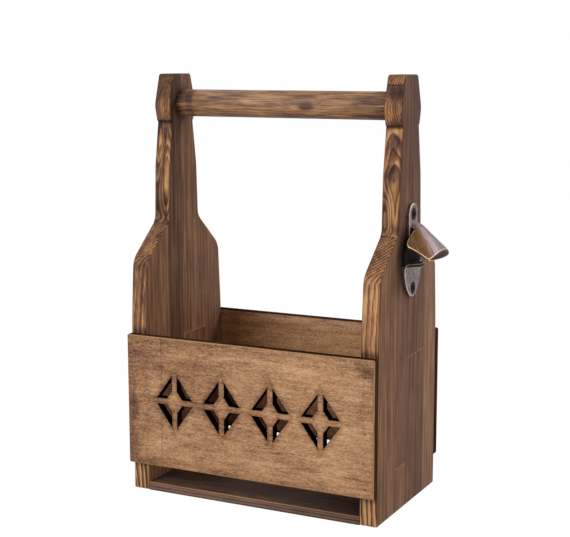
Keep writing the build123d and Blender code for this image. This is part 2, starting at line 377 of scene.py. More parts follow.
    # stain gathers along the sawn arris
    offArris = awayFrom(tree, depth, pine["arris"] * mm)
    marks = [addNode(tree, "MapRange", offArris, 0.2 * mm, 0.6 * mm, 0.25, 0.0, **smooth)]
    # painted shade and pooled stain in the step under the head, and a dark saw nick across the right head's
    # front
    wavering = addNode(tree, "Math", clouds, 2 * mm, z, operation="MULTIPLY_ADD")
    wavering = addNode(tree, "Math", wavering, mm, operation="SUBTRACT")
    onFront = addNode(tree, "Math", y, 0.0, operation="LESS_THAN")
    nicked = addNode(tree, "Math", onFront, onRight, operation="MULTIPLY")
    for height, near, far, where in (
            (pine["creaseHeight"], 0.7, 2.8, sawn), (pine["nickHeight"], 0.3, 1.0, nicked)):
        line = awayFrom(tree, wavering, height * mm)
        line = addNode(tree, "MapRange", line, near * mm, far * mm, 0.75, 0.0)
        line = addNode(tree, "Math", line, where, operation="MULTIPLY")
        marks.append(addNode(tree, "Math", line, sawn, operation="MULTIPLY"))
    # painted shadow of the opener on the right board, in front of its mouth
    low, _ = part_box("bottle_opener")
    onSide = addNode(tree, "CombineXYZ", y, z)
    shadowY, shadowRise, halfY, halfZ = pine["mouthShadow"]
    away = onEllipse(tree, onSide, (shadowY * mm, low.z + shadowRise * mm, 0.0), halfY, halfZ)
    grimeAndShadow = addNode(tree, "MapRange", away, 0.9, 1.6, 0.7, 0.0, **smooth)
    outer = addNode(tree, "Math", x, middle, operation="GREATER_THAN")
    marks.append(addNode(tree, "Math", grimeAndShadow, outer, operation="MULTIPLY"))
    # painted shade round the dowel's ends on the inner faces
    low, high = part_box("handle_dowel")
    dowelMiddle = ((low.y + high.y) / 2, (low.z + high.z) / 2, 0.0)
    away = addNode(tree, "VectorMath", onSide, dowelMiddle, operation="SUBTRACT")
    away = addNode(tree, "VectorMath", away, operation="LENGTH")
    shadeRing = addNode(tree, "MapRange", away, *[size * mm for size in pine["dowelShade"]], 0.45, 0.0, **smooth)
    farX = addNode(tree, "Math", x, operation="ABSOLUTE")
    inner = addNode(tree, "Math", farX, middle, operation="LESS_THAN")
    marks.append(addNode(tree, "Math", shadeRing, inner, operation="MULTIPLY"))
    for mark in marks:
        light = addNode(tree, "Math", light, mark, operation="SUBTRACT")
    colour = addNode(tree, "Mix", 1.0, colour, light, data_type="RGBA", blend_type="MULTIPLY")

    grooves = addUp(tree, rings, (fibres, 0.5))
    bump = addNode(tree, "Bump", {"Height": grooves, "Strength": 0.7, "Distance": pine["groove"] * mm})
    dry = addNode(tree, "MapRange", fibres, 0.0, 1.0, 0.55, 0.8)
    plugIn(tree, shader, {
        "Base Color": colour, "Specular IOR Level": 0.18, "Normal": bump, "Roughness": dry})
    return material


# Birch plywood, laser-cut and stained: a warm face with short dark pores along its grain and soft
# clouds across it, black-brown scorched cuts with a narrow halo, and thin layers on its edges.
stencil = {
    "pitch": 49.4,
    "width": 41.0,
    "height": 55.5,
    "stroke": 8.0,
    "bridge": 6.0,
    "rise": 2.0,           # of the row's middle over the panel's
    "count": 4,
}
plywood = {
    "veneer": 1.6,
    "patterns": {          # sizes along the panels, through them and up
        "pores": (2.6, 3.3333, 0.75),  # drawn taller than real pores, to show at all
        "clouds": (50.0, 50.0, 27.778),
        "waves": (29.412, 29.412, 3.0303),
        "bottomGrain": (22.222, 2.381, 2.381),
    },
    "scorchLine": 0.7,
    "smoke": 5.0,
    "edgeHalo": 1.6,
    "edgeDarkening": 14.0,        # the face is darker this far in from its edges
    "grimeAndShadow": (             # hand marks: x, height from the middle, half sizes, tone
        (116.0, 52.0, 12.0, 7.0, -0.15),
        (107.0, -43.0, 6.0, 3.0, -0.08),
        (-117.0, -8.0, 6.0, 13.0, -0.08),
        (60.0, 50.0, 16.0, 4.0, -0.05),
    ),
    "skin": 0.8,           # how deep the face's colour reaches over the rounds
    "crackX": -88.0,
    "crackWander": 3.0,
}


def stainedPlywood():
    material, tree, shader = startMaterial("stainedBirchPlywood")
    spot = addNode(tree, "TexCoord").outputs["Object"]
    x, y, z = addNode(tree, "SeparateXYZ", spot).outputs
    low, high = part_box("front_panel")
    middleZ = (low.z + high.z) / 2
    farX = addNode(tree, "Math", x, operation="ABSOLUTE")

    # distance to the nearest slot, negative inside it: a ring of a lozenge, without its bridges
    wide, tall = stencil["width"] / 2 * mm, stencil["height"] / 2 * mm
    inPitch = addNode(tree, "Math", x, stencil["pitch"] * mm, operation="FLOORED_MODULO")
    aside = awayFrom(tree, inPitch, stencil["pitch"] / 2 * mm)
    upDown = awayFrom(tree, z, middleZ + stencil["rise"] * mm)
    slant = wide * tall / hypot(wide, tall)
    outer = addUp(tree, -slant, (aside, slant / wide), (upDown, slant / tall))
    inner = addNode(tree, "Math", -stencil["stroke"] * mm, outer, operation="SUBTRACT")
    bridgeHalf = stencil["bridge"] / 2 * mm
    bridges = [addNode(tree, "Math", bridgeHalf, part, operation="SUBTRACT") for part in (aside, upDown)]
    past = addNode(tree, "Math", farX, stencil["pitch"] * stencil["count"] / 2 * mm, operation="SUBTRACT")
    gap = outer
    for other in (inner, *bridges, past, y):
        gap = addNode(tree, "Math", gap, other, operation="MAXIMUM")
    scorch = addNode(tree, "MapRange", gap, 0.1 * mm, plywood["scorchLine"] * mm, 1.0, 0.0, **smooth)
    smoke = addNode(tree, "MapRange", gap, 0.5 * mm, plywood["smoke"] * mm, 0.24, 0.0)

    # distance to the panel's own edges
    toSide = addNode(tree, "Math", high.x, farX, operation="SUBTRACT")
    offMiddle = awayFrom(tree, z, middleZ)
    toTop = addNode(tree, "Math", high.z - middleZ, offMiddle, operation="SUBTRACT")
    toEdge = addNode(tree, "Math", toSide, toTop, operation="MINIMUM")
    nearEdge = addNode(tree, "MapRange", toEdge, 0.3 * mm, plywood["edgeHalo"] * mm, 1.0, 0.0, **smooth)
    farY = addNode(tree, "Math", y, operation="ABSOLUTE")
    depth = addNode(tree, "Math", -low.y, farY, operation="SUBTRACT")
    deep = addNode(tree, "MapRange", depth, plywood["skin"] / 2 * mm, plywood["skin"] * mm, 0.6, 1.0)
    onEdge = addNode(tree, "Math", nearEdge, deep, operation="MULTIPLY")

    pores = woodGrain(tree, spot, plywood["patterns"]["pores"], 3.0, 0.75)
    clouds = woodGrain(tree, spot, plywood["patterns"]["clouds"], 6.0, 0.65)
    waves = woodGrain(tree, spot, plywood["patterns"]["waves"], 5.0, 0.65, 0.5)
    paler = addNode(tree, "MapRange", x, -120 * mm, 60 * mm, -0.355, -0.27)
    edgeDarkening = addNode(tree, "MapRange", toEdge, 0.0, plywood["edgeDarkening"] * mm, -0.09, 0.0)
    tone = addUp(tree, paler, (pores, 0.85), (clouds, 0.47), (waves, 0.47), (edgeDarkening, 1.0))
    onFlat = addNode(tree, "CombineXYZ", x, z)
    for px, pz, halfX, halfZ, level in plywood["grimeAndShadow"]:
        away = onEllipse(tree, onFlat, (px * mm, middleZ + pz * mm, 0.0), halfX, halfZ)
        away = addUp(tree, away, (clouds, 1.2))
        mark = addNode(tree, "MapRange", away, 0.9, 1.8, level, 0.0, **smooth)
        tone = addNode(tree, "Math", tone, mark, operation="ADD")
    # smoke drifted unevenly from the laser's cuts
    drift = addNode(tree, "Math", smoke, clouds, operation="MULTIPLY")
    tone = addNode(tree, "Math", tone, drift, operation="SUBTRACT")
    face = addNode(tree, "ValToRGB", tone, stops=[
        (0.36, "#54351F"), (0.465, "#8A5E3E"), (0.57, "#AC7D57"), (0.69, "#C99B70"), (0.86, "#E3B98A")])

    # upright check in the face veneer
    wobble = addNode(tree, "Math", clouds, plywood["crackWander"] * mm, x, operation="MULTIPLY_ADD")
    offCrack = awayFrom(tree, wobble, (plywood["crackX"] + plywood["crackWander"] / 2) * mm)
    crack = addNode(tree, "MapRange", offCrack, 0.2 * mm, 0.8 * mm, 0.5, 0.0)
    inFront = addNode(tree, "Math", y, 0.0, operation="LESS_THAN")
    crack = addNode(tree, "Math", crack, inFront, operation="MULTIPLY")
    face = addNode(tree, "Mix", crack, face, "#3A2619", data_type="RGBA")

    layers = addNode(tree, "Math", y, 2 * plywood["veneer"] * mm, operation="FLOORED_MODULO")
    layers = addNode(tree, "Math", layers, plywood["veneer"] * mm, operation="GREATER_THAN")
    edgeTone = addUp(tree, pores, (layers, 0.35))
    edge = addNode(tree, "ValToRGB", edgeTone, stops=[(0.3, "#22130C"), (0.6, "#3A2318"), (0.95, "#60402C")])
    burnt = addNode(tree, "ValToRGB", edgeTone, stops=[(0.3, "#060403"), (0.95, "#150E0A")])
    colour = addNode(tree, "Mix", onEdge, face, edge, data_type="RGBA")
    # painted highlight and worn stain: the very corners are pale
    corner = addNode(tree, "Math", toEdge, depth, operation="MAXIMUM")
    corner = addNode(tree, "Math", clouds, 1.6 * mm, corner, operation="MULTIPLY_ADD")
    worn = addNode(tree, "MapRange", corner, 1.5 * mm, 2.0 * mm, 0.85, 0.0)
    colour = addNode(tree, "Mix", worn, colour, "#C1976C", data_type="RGBA")
    colour = addNode(tree, "Mix", scorch, colour, burnt, data_type="RGBA")

    bump = addNode(tree, "Bump", {"Height": pores, "Strength": 0.5, "Distance": 0.2 * mm})
    # charred and sawn edges are dull
    dull = addNode(tree, "Math", onEdge, scorch, operation="MAXIMUM")
    gloss = addNode(tree, "MapRange", tone, 0.0, 1.0, 0.62, 0.45)
    gloss = addNode(tree, "Mix", dull, gloss, 0.95)
    level = addNode(tree, "MapRange", dull, 0.0, 1.0, 0.4, 0.0)
    plugIn(tree, shader, {
        "Base Color": colour, "Normal": bump, "Roughness": gloss, "Specular IOR Level": level})
    return material


# Stained plywood lying flat: its layers show as level lines on the front and back edges
def darkPlywood():
    material, tree, shader = startMaterial("stainedFloorPlywood")
    spot = addNode(tree, "TexCoord").outputs["Object"]
    _, y, z = addNode(tree, "SeparateXYZ", spot).outputs
    _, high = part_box("bottom_board")
    grain = woodGrain(tree, spot, plywood["patterns"]["bottomGrain"], 4.0, 0.6)
    flat = addNode(tree, "ValToRGB", grain, stops=[(0.3, "#2B1D15"), (0.5, "#4D3628"), (0.72, "#70523C")])
    layers = addNode(tree, "Math", z, 2 * plywood["veneer"] * mm, operation="FLOORED_MODULO")
    layers = addNode(tree, "Math", layers, plywood["veneer"] * mm, operation="GREATER_THAN")
    tone = addUp(tree, grain, (layers, 0.32))
    edge = addNode(tree, "ValToRGB", tone, stops=[(0.35, "#35231B"), (0.6, "#5E4133"), (0.95, "#90694F")])
    farY = addNode(tree, "Math", y, operation="ABSOLUTE")
    onEdge = addNode(tree, "MapRange", farY, high.y - 0.9 * mm, high.y - 0.4 * mm)
    colour = addNode(tree, "Mix", onEdge, flat, edge, data_type="RGBA")
    # worn pale along the upper corner
    toTop = addNode(tree, "Math", high.z, z, operation="SUBTRACT")
    toFront = addNode(tree, "Math", high.y, farY, operation="SUBTRACT")
    corner = addNode(tree, "Math", toTop, toFront, operation="MAXIMUM")
    worn = addNode(tree, "MapRange", corner, 0.5 * mm, 1.1 * mm, 0.75, 0.0)
    colour = addNode(tree, "Mix", worn, colour, "#B98C5E", data_type="RGBA")
    bump = addNode(tree, "Bump", {"Height": grain, "Strength": 0.4, "Distance": 0.15 * mm})
    dry = addNode(tree, "MapRange", grain, 0.0, 1.0, 0.5, 0.75)
    plugIn(tree, shader, {"Base Color": colour, "Normal": bump, "Roughness": dry})
    return material


# Turned softwood dowel, oiled: golden, with broken dark streaks along it and one oval knot
dowel = {
    "knotX": 27.7,
    "knotDrop": 1.0,
    "knot": (9.0, 8.0, 5.0),   # half sizes along the dowel, into it and up
    "stainX": -94.0,
    "darkeningFrom": (85.0, 108.0),
    "patterns": {              # sizes along the dowel, through it and up
        "streaks": (32.0, 3.3, 3.3),   # drawn three times a real streak's height, to show at all
        "fibres": (25.0, 0.76923, 0.76923),
        "blotches": (33.333, 9.0909, 9.0909),
    },
}


def oiledDowel():
    material, tree, shader = startMaterial("oiledTurnedPine")
    spot = addNode(tree, "TexCoord").outputs["Object"]
    low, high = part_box("handle_dowel")
    knotPlace = (dowel["knotX"] * mm, low.y, (low.z + high.z) / 2 - dowel["knotDrop"] * mm)
    knotReach = onEllipse(tree, spot, knotPlace, *dowel["knot"])
    knot = addNode(tree, "MapRange", knotReach, 0.5, 1.1, 0.85, 0.0, **smooth)
    swell = addNode(tree, "MapRange", knotReach, 0.0, 3.2, 1.0, 0.0, **smooth)

    # the streaks part round the knot
    streakScale = [1 / mm / size for size in dowel["patterns"]["streaks"]]
    streaky = addNode(tree, "Mapping", {"Vector": spot, "Scale": streakScale})
    bent = addNode(tree, "VectorMath", swell, (0.0, 1.6, 1.6), streaky, operation="MULTIPLY_ADD")
    streaks = addNode(tree, "TexNoise", {
        "Vector": bent, "Scale": 1.0, "Detail": 4.0, "Roughness": 0.6, "Distortion": 0.3})
    fibres = woodGrain(tree, spot, dowel["patterns"]["fibres"], 3.0)
    blotches = woodGrain(tree, spot, dowel["patterns"]["blotches"], 4.0, 0.65)
    # darker towards the boards, with one stain round it
    x = addNode(tree, "SeparateXYZ", spot).outputs["X"]
    farX = addNode(tree, "Math", x, operation="ABSOLUTE")
    darkerNearBoards = addNode(tree, "MapRange", farX, *[size * mm for size in dowel["darkeningFrom"]], -0.53, -0.66)
    offStain = awayFrom(tree, x, dowel["stainX"] * mm)
    stain = addNode(tree, "MapRange", offStain, 2 * mm, 5 * mm, -0.12, 0.0, **smooth)
    tone = addUp(tree, darkerNearBoards, (stain, 1.0), (streaks, 0.65), (fibres, 0.85), (blotches, 0.70))
    colour = addNode(tree, "ValToRGB", tone, stops=[
        (0.30, "#38251A"), (0.46, "#6E4C37"), (0.60, "#9C704C"), (0.80, "#C49565")])
    colour = addNode(tree, "Mix", knot, colour, "#47291C", data_type="RGBA")
    bump = addNode(tree, "Bump", {"Height": tone, "Strength": 0.4, "Distance": 0.15 * mm})
    dry = addNode(tree, "MapRange", fibres, 0.0, 1.0, 0.4, 0.65)
    plugIn(tree, shader, {"Base Color": colour, "Normal": bump, "Roughness": dry})
    return material


# Phosphated steel: near-black, with a dry sheen; the brads' ends took the brown stain
steel = {"grit": 1.1111}   # drawn coarser than real phosphate, to show at all


def dullSteel(name, dark, light):
    material, tree, shader = startMaterial(name)
    spot = addNode(tree, "TexCoord").outputs["Object"]
    grit = addNode(tree, "TexNoise", {"Vector": spot, "Scale": 1 / mm / steel["grit"], "Detail": 4.0})
    colour = addNode(tree, "ValToRGB", grit, stops=[(0.35, dark), (0.7, light)])
    dry = addNode(tree, "MapRange", grit, 0.0, 1.0, 0.5, 0.75)
    bump = addNode(tree, "Bump", {"Height": grit, "Strength": 0.3, "Distance": 0.05 * mm})
    plugIn(tree, shader, {
        "Base Color": colour, "Metallic": 0.15, "Specular IOR Level": 0.12, "Roughness": dry, "Normal": bump})
    return material


pineLook = stainedPine()
plyLook = stainedPlywood()
floorPlyLook = darkPlywood()
dowelLook = oiledDowel()
screwLook = dullSteel("phosphatedSteel", "#0D0909", "#201817")
bradLook = dullSteel("stainedBradSteel", "#5A3F2C", "#82603F")
print("woods and steels ready")


# Half the outline of a side board from the foot up: depth from the middle, height, radius
sideBoard = {
    "outline": (
        (70.5, 0.0, 2.0), (70.5, 160.0, 150.0), (66.3, 219.5, 17.0), (27.0, 252.5, 12.0), (25.0, 303.0, 45.0),
        (18.8, 344.9, 0.8), (20.5, 346.5, 2.2), (24.2, 360.5, 14.0), (15.5, 390.0, 3.0)),
    "rimRound": 1.8,
}

for node in ("left_side_board", "right_side_board"):
    low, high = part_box(node)
    bm = bmesh.new()
    flatFace = roundedFace(bm, sideBoard["outline"], lambda out, up: (low.x, out * mm, up * mm))
    thicken(bm, flatFace, (high.x - low.x, 0, 0))
    bmesh.ops.recalc_face_normals(bm, faces=bm.faces)
    rims = [edge for edge in bm.edges if abs(edge.verts[0].co.x - edge.verts[1].co.x) < mm / 10]
    bmesh.ops.bevel(
        bm, geom=rims, offset=sideBoard["rimRound"] * mm, offset_type="OFFSET", segments=4,
        profile=0.5, affect="EDGES", clamp_overlap=False, material=-1)
    addPiece("shown_" + node, finishMesh(bm, node), pineLook, "stained_pine", node)
print("side boards ready")


# The flat boards, the dowel and the brads keep their CAD forms, smoothed over their rounds
smoothed = {
    "front_panel": (plyLook, "birch_plywood"),
    "back_panel": (plyLook, "birch_plywood"),
    "bottom_board": (floorPlyLook, "dark_plywood"),
    "handle_dowel": (dowelLook, "oiled_dowel"),
    "front_panel_brads": (bradLook, "steel_brads"),
    "back_panel_brads": (bradLook, "steel_brads"),
}

for node, (look, slot) in smoothed.items():
    bm = bmesh.new()
    bm.from_mesh(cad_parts[node].data)
    bmesh.ops.remove_doubles(bm, verts=bm.verts, dist=mm / 1000)
    addPiece("shown_" + node, finishMesh(bm, node), look, slot, node)
print("panels, bottom, dowel and brads ready")


# Cast opener, from its lower screw up; the hood is a piece of a cone with a flat brow
opener = {
    "lowerScrewUp": 7.8,            # above the casting's lowest point
    "screwSpacing": 66.2,
    "plateThickness": 3.2,
    "plate": (
        (5.5, -7.8, 10.0), (14.0, 0.8, 14.0), (19.0, 13.0, 12.0), (19.0, 34.0, 7.0), (9.4, 46.0, 5.0),
        (9.4, 75.6, 9.2)),
    "sinkRadius": 4.98,
    "shankRadius": 2.2,
    "jaw": ((19.0, 0.0, 0.0), (19.0, 3.4, 0.6), (11.5, 4.3, 8.0), (5.2, 11.4, 4.5)),
    "jawRise": 19.4,
    "jawThickness": 3.4,
    "hoodTip": (1.7, 65.5),
    "hoodSlope": 0.973,             # fall for each step away from the cone's axis
    "browRise": 59.3,
    "browSlope": 0.468,
    "hoodWall": 2.6,
    "neckHalf": 9.4,
    "neckReach": 8.0,
    "neckRoot": 0.4,                # the neck starts inside the plate
    "heel": (25.5, 4.4),            # half width, reach
    "corner": (26.0, 27.4),
    "lipReach": 31.5,
    "lipRise": 28.6,
    "cornerShares": ((1, 0.13), (0, 0.22)),  # rounds at the lip and the heel, as shares of the hood
    "grain": 0.45,                  # size of the remeshed facets
    "mottle": 3.846,
    "grit": 0.625,
    "streaks": (36.0, 16.67),       # how many to a radian round the cone, and their length
}


# Cast zinc, plated in antique bronze and polished back: near-black in the hollows with patina and painted
# shade, grey with a painted sheen on the plate and the hood's ridge, golden with polishing streaks down the
# hood's flanks, bright where hands rub the rims
def antiqueBronze():
    material, tree, shader = startMaterial("antiqueBronzeCasting")
    spot = addNode(tree, "TexCoord").outputs["Object"]
    rub = addNode(tree, "Attribute", attribute_name="rub").outputs["Fac"]
    patinaAndShade = addNode(tree, "Attribute", attribute_name="patinaAndShade").outputs["Fac"]
    low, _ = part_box("bottle_opener")
    tipReach, tipRise = opener["hoodTip"]
    tip = (low.x + tipReach * mm, 0.0, low.z + (opener["lowerScrewUp"] + tipRise) * mm)
    fromTip = addNode(tree, "VectorMath", spot, tip, operation="SUBTRACT")
    out, across, up = addNode(tree, "SeparateXYZ", fromTip).outputs
    angle = addNode(tree, "Math", across, out, operation="ARCTAN2")
    turned = addNode(tree, "Math", angle, operation="ABSOLUTE")
    flank = addNode(tree, "MapRange", turned, 0.35, 0.85, **smooth)
    onHood = addNode(tree, "MapRange", out, 1.9 * mm, 3.2 * mm)
    along = addNode(tree, "VectorMath", fromTip, operation="LENGTH")
    pastNeck = addNode(tree, "MapRange", along, 9 * mm, 19 * mm, **smooth)
    golden = addNode(tree, "Math", flank, onHood, operation="MULTIPLY")
    golden = addNode(tree, "Math", golden, pastNeck, operation="MULTIPLY")

    mottled = addNode(tree, "TexNoise", {
        "Vector": spot, "Scale": 1 / mm / opener["mottle"], "Detail": 6.0, "Roughness": 0.65})
    grit = addNode(tree, "TexNoise", {"Vector": spot, "Scale": 1 / mm / opener["grit"], "Detail": 3.0})
    # polishing streaks run down from the tip, many round the cone
    polar = addNode(tree, "CombineXYZ", angle, along)
    streakTurns, streakLength = opener["streaks"]
    streakScale = (streakTurns, 1 / mm / streakLength, 1.0)
    polar = addNode(tree, "VectorMath", polar, streakScale, operation="MULTIPLY")
    streaks = addNode(tree, "TexNoise", {"Vector": polar, "Scale": 1.0, "Detail": 4.0, "Roughness": 0.65})
    tone = addNode(tree, "Mix", onHood, mottled, streaks)
    tone = addUp(tree, tone, (grit, 0.3))
    # painted sheen: grey-purple on the plate, the neck and the hood's ridge, as if they reflected the room;
    # golden on the flanks
    grey = addNode(tree, "ValToRGB", tone, stops=[(0.45, "#44383C"), (0.64, "#6B5C60"), (0.85, "#8A7B7F")])
    gold = addNode(tree, "ValToRGB", tone, stops=[(0.45, "#3B2717"), (0.64, "#65462B"), (0.85, "#926B42")])
    field = addNode(tree, "Mix", golden, grey, gold, data_type="RGBA")
    worn = addUp(tree, rub, (mottled, 0.4))
    worn = addNode(tree, "MapRange", worn, 0.78, 1.08, **smooth)
    rim = addNode(tree, "Mix", golden, "#BBA898", "#D9BC8E", data_type="RGBA")
    # painted shade and patina darken the colour to near black in the hollows, the pocket and round the screws
    shade = addNode(tree, "MapRange", patinaAndShade, 0.34, 0.75, 1.0, 0.08, **smooth)
    # painted shade: the hood's front wall and the jaw are darker than the cone above them
    spread = addNode(tree, "CombineXYZ", out, across)
    spread = addNode(tree, "VectorMath", spread, operation="LENGTH")
    offCone = addUp(tree, up, (spread, opener["hoodSlope"]))
    onCone = addNode(tree, "MapRange", offCone, -2.2 * mm, -0.9 * mm)
    onBrow = addNode(tree, "MapRange", up, -18 * mm, -14 * mm)
    outOfShade = addNode(tree, "Math", onCone, onBrow, operation="MAXIMUM")
    outOfShade = addNode(tree, "Mix", onHood, 1.0, outOfShade)
    field = addNode(tree, "Mix", outOfShade, "#42342C", field, data_type="RGBA")
    colour = addNode(tree, "Mix", worn, field, rim, data_type="RGBA")
    colour = addNode(tree, "Mix", 1.0, colour, shade, data_type="RGBA", blend_type="MULTIPLY")
    # where patina and painted shade darken the casting, and on the front wall and the jaw, it is dull too, so
    # it shows little reflection
    metal = addNode(tree, "MapRange", outOfShade, 0.0, 1.0, 0.25, 1.0)
    metal = addNode(tree, "Mix", worn, metal, 1.0)
    metal = addNode(tree, "Math", shade, metal, operation="MULTIPLY")
    metal = addNode(tree, "Math", metal, 0.9, operation="MULTIPLY")
    level = addNode(tree, "Math", metal, 0.45, 0.05, operation="MULTIPLY_ADD")
    gloss = addNode(tree, "MapRange", tone, 0.4, 0.9, 0.5, 0.32)
    gloss = addNode(tree, "Mix", metal, 0.85, gloss)
    bump = addNode(tree, "Bump", {"Height": tone, "Strength": 0.3, "Distance": 0.1 * mm})
    plugIn(tree, shader, {
        "Base Color": colour, "Metallic": metal, "Specular IOR Level": level, "Roughness": gloss,
        "Normal": bump})
    return material


bronzeLook = antiqueBronze()
print("bronze ready")

# The plate, with its two screw holes
casting = bmesh.new()
low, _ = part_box("bottle_opener")
wallX = low.x
screwZ = low.z + opener["lowerScrewUp"] * mm
screwRises = (0.0, opener["screwSpacing"])
plateFaces = roundedFace(casting, opener["plate"], lambda out, up: (wallX, out * mm, screwZ + up * mm))
bmesh.ops.delete(casting, geom=plateFaces, context="FACES_ONLY")
holes = []
sinkRadius = opener["sinkRadius"] * mm
for rise in screwRises:
    place = Matrix.Translation((wallX, 0, screwZ + rise * mm)) @ Matrix.Rotation(pi / 2, 4, "Y")
    holes.append(bmesh.ops.create_circle(casting, radius=sinkRadius, segments=32, matrix=place)["verts"])
bmesh.ops.triangle_fill(casting, use_beauty=True, edges=casting.edges[:], normal=(-1, 0, 0))
thicken(casting, casting.faces[:], (opener["plateThickness"] * mm, 0, 0))
# each hole narrows from its countersink to the shank at the board
narrowed = opener["shankRadius"] / opener["sinkRadius"]
for ring, rise in zip(holes, screwRises):
    onScrew = Matrix.Translation((-wallX, 0, -screwZ - rise * mm))
    bmesh.ops.scale(casting, verts=ring, vec=(1, narrowed, narrowed), space=onScrew)

# The jaw, rooted inside the plate
ledge = bmesh.new()
jawZ = screwZ + opener["jawRise"] * mm
roundedFace(ledge, opener["jaw"], lambda out, reach: (wallX + reach * mm + mm / 2, out * mm, jawZ), 6)
thicken(ledge, ledge.faces[:], (0, 0, opener["jawThickness"] * mm))

# The hood
hood = bmesh.new()
bmesh.ops.create_grid(hood, x_segments=24, y_segments=60, size=1.0)
heelHalf, heelReach = opener["heel"]
cornerHalf, cornerReach = opener["corner"]
lipEdges = [edge for edge in hood.edges if all(vert.co.x > 0.999 for vert in edge.verts)]
# the grid becomes the hood's plan, with rounded corners: v runs from the heel to the lip, u across
for vert in hood.verts:
    v, u = (vert.co.x + 1) / 2, vert.co.y
    for end, share in opener["cornerShares"]:
        s = (abs(u) - 1 + share) / share
        t = ((v if end else 1 - v) - 1 + share) / share
        if s > 0 and t > 0:
            s, t = s * (1 - t * t / 2) ** 0.5, t * (1 - s * s / 2) ** 0.5
            u = (1 - share + share * s) * (1 if u > 0 else -1)
            v = 1 - share + share * t if end else share - share * t
    half = heelHalf + (cornerHalf - heelHalf) * v
    neckShare = min(1.0, max(0.0, (abs(u) * heelHalf - opener["neckHalf"]) / (heelHalf - opener["neckHalf"])))
    back = opener["neckReach"] + (heelReach - opener["neckReach"]) * neckShare
    frontEdge = opener["lipReach"] + (cornerReach - opener["lipReach"]) * u * u
    vert.co = (back + (frontEdge - back) * v, u * half, 0)
neckEdges = [e for e in hood.edges if e.is_boundary and all(
    vert.co.x < opener["neckReach"] + 0.01 and abs(vert.co.y) < opener["neckHalf"] + 0.3 for vert in e.verts)]
for vert in onlyVerts(bmesh.ops.extrude_edge_only(hood, edges=neckEdges)["geom"]):
    vert.co.x = opener["neckRoot"]
# then each point rises to the cone or to the brow, whichever is lower
tipReach, tipRise = opener["hoodTip"]
for vert in hood.verts:
    cone = tipRise - opener["hoodSlope"] * hypot(vert.co.x - tipReach, vert.co.y)
    brow = opener["browRise"] - opener["browSlope"] * (vert.co.x - opener["plateThickness"])
    vert.co.z = min(cone, brow)
for vert in onlyVerts(bmesh.ops.extrude_edge_only(hood, edges=lipEdges)["geom"]):
    vert.co.z = opener["lipRise"]
place = Matrix.Translation((wallX, 0, screwZ)) @ Matrix.Scale(mm, 4)
bmesh.ops.transform(hood, verts=hood.verts, matrix=place)
bmesh.ops.recalc_face_normals(hood, faces=hood.faces)
if sum(face.normal.z for face in hood.faces) < 0:
    bmesh.ops.reverse_faces(hood, faces=hood.faces)
bmesh.ops.solidify(hood, geom=hood.faces[:], thickness=opener["hoodWall"] * mm)

rough = bpy.data.meshes.new("roughCasting")
for part in (ledge, hood):
    bmesh.ops.recalc_face_normals(part, faces=part.faces)
    part.to_mesh(rough)
    part.free()
    casting.from_mesh(rough)
bmesh.ops.recalc_face_normals(casting, faces=casting.faces)
casting.to_mesh(rough)
casting.free()
roughPiece = addObject("roughCasting", rough)
remesh = roughPiece.modifiers.new("cast", "REMESH")
remesh.mode = "VOXEL"
remesh.voxel_size = opener["grain"] * mm
soften = roughPiece.modifiers.new("soften", "SMOOTH")
soften.factor = 0.5
soften.iterations = 3
bpy.context.view_layer.update()
cast = bpy.data.meshes.new_from_object(roughPiece.evaluated_get(bpy.context.evaluated_depsgraph_get()))
bpy.data.objects.remove(roughPiece)

# Rims wear bright: the outward bend at each vertex, spread to its neighbours. Hollows stay dark with patina
# and painted shade:
# the share of rays from each vertex that soon meet the casting or the board.
patinaWearAndShade = {
    "rays": 26,
    "reach": 20.0,
    "screwShade": 5.6,     # painted shade this far round each screw
    "offPlate": 3.8,       # the jaw, neck and hood stand out further than this
    "pocketTop": 47.0,     # top of the painted shade in the pocket under the hood, above the lower screw, like the next one
    "neckFrom": 44.0,
    # the jaw keeps this share of the patina and painted shade
    "jawPatinaAndShade": 0.55,
    "jawRub": 0.6,
    "neckRub": 0.45,
    "rubGain": 7.0,
}

bm = bmesh.new()
bm.from_mesh(cast)
rubLayer = bm.verts.layers.float.new("rub")
patinaAndShadeLayer = bm.verts.layers.float.new("patinaAndShade")
rub = {}
for vert in bm.verts:
    bends = [edge.calc_face_angle_signed(0.0) for edge in vert.link_edges if edge.is_manifold]
    rub[vert] = max(0.0, sum(bends) / max(1, len(bends)))
spread = {}
for vert in bm.verts:
    around = [edge.other_vert(vert) for edge in vert.link_edges]
    spread[vert] = (rub[vert] + sum(rub[other] for other in around)) / (1 + len(around))
surface = BVHTree.FromBMesh(bm)
rays = []
for count in range(patinaWearAndShade["rays"]):
    height = 1 - (2 * count + 1) / patinaWearAndShade["rays"]
    wide = (1 - height ** 2) ** 0.5
    turn = count * pi * (3 - 5 ** 0.5)
    rays.append(Vector((wide * cos(turn), wide * sin(turn), height)))
reach = patinaWearAndShade["reach"] * mm
jawMiddle = opener["jawRise"] + opener["jawThickness"] / 2
